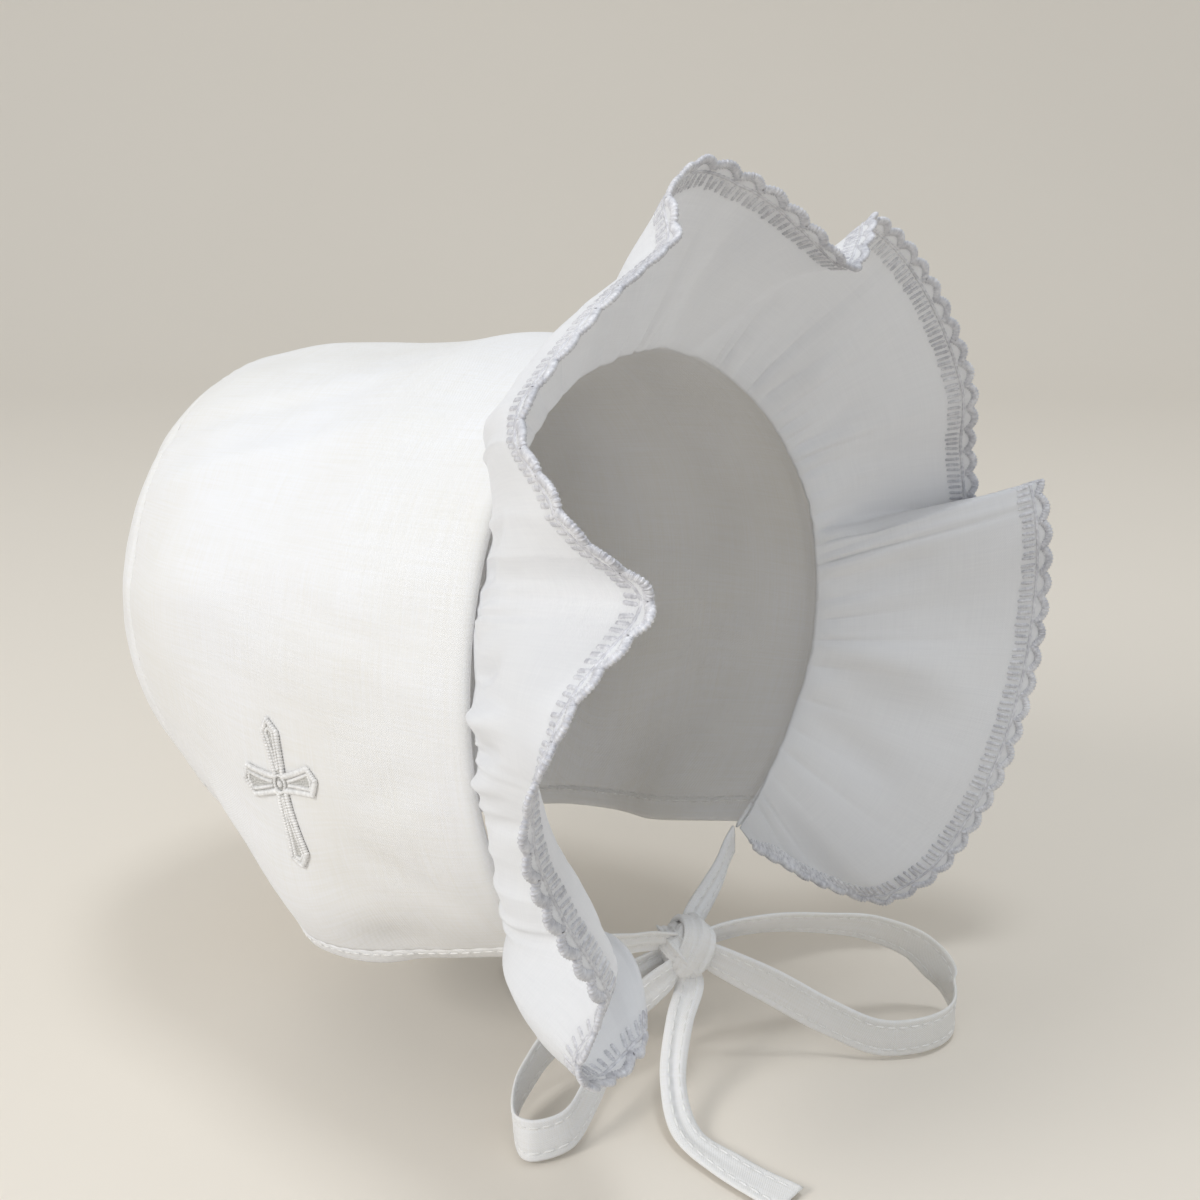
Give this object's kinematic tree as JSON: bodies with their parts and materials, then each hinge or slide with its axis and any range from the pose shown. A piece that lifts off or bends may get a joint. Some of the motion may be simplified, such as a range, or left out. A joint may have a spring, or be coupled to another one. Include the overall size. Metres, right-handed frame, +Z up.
{
  "type": "baby bonnet",
  "caption": "Baby's gathered cotton bonnet with a wide ruffle, scalloped embroidered border, raised cross and ties knotted in a bow under the chin.",
  "frame": {"origin": "on the inside of the crown, where the top of the head meets it, on the middle plane", "axes": "+Z up, the face looks along -Y, the wearer's right side is -X"},
  "size_m": [0.1974, 0.1979, 0.1945],
  "materials": {
    "crown_cloth": "matt white cotton voile",
    "hem_cloth": "matt white cotton, folded and stitched",
    "ruffle_cloth": "matt white cotton voile",
    "border_embroidery": "silver-grey satin stitch with a soft sheen",
    "cross_embroidery": "silver-white satin stitch round grey net",
    "tie_tape": "matt white cotton, stitched along both edges"
  },
  "bodies": {
    "root": {"crown_band": "crown_cloth", "crown_back": "crown_cloth", "neck_hem": "hem_cloth", "ruffle": "ruffle_cloth", "ruffle_border": "border_embroidery", "embroidered_cross": "cross_embroidery", "tie_near": "tie_tape", "tie_far": "tie_tape", "bow_knot": "tie_tape", "bow_loop_right_upper": "tie_tape", "bow_loop_right_lower": "tie_tape", "bow_loop_left_front": "tie_tape", "bow_loop_left_rear": "tie_tape", "tie_tail_right": "tie_tape", "tie_tail_left": "tie_tape"}
  },
  "joints": []
}
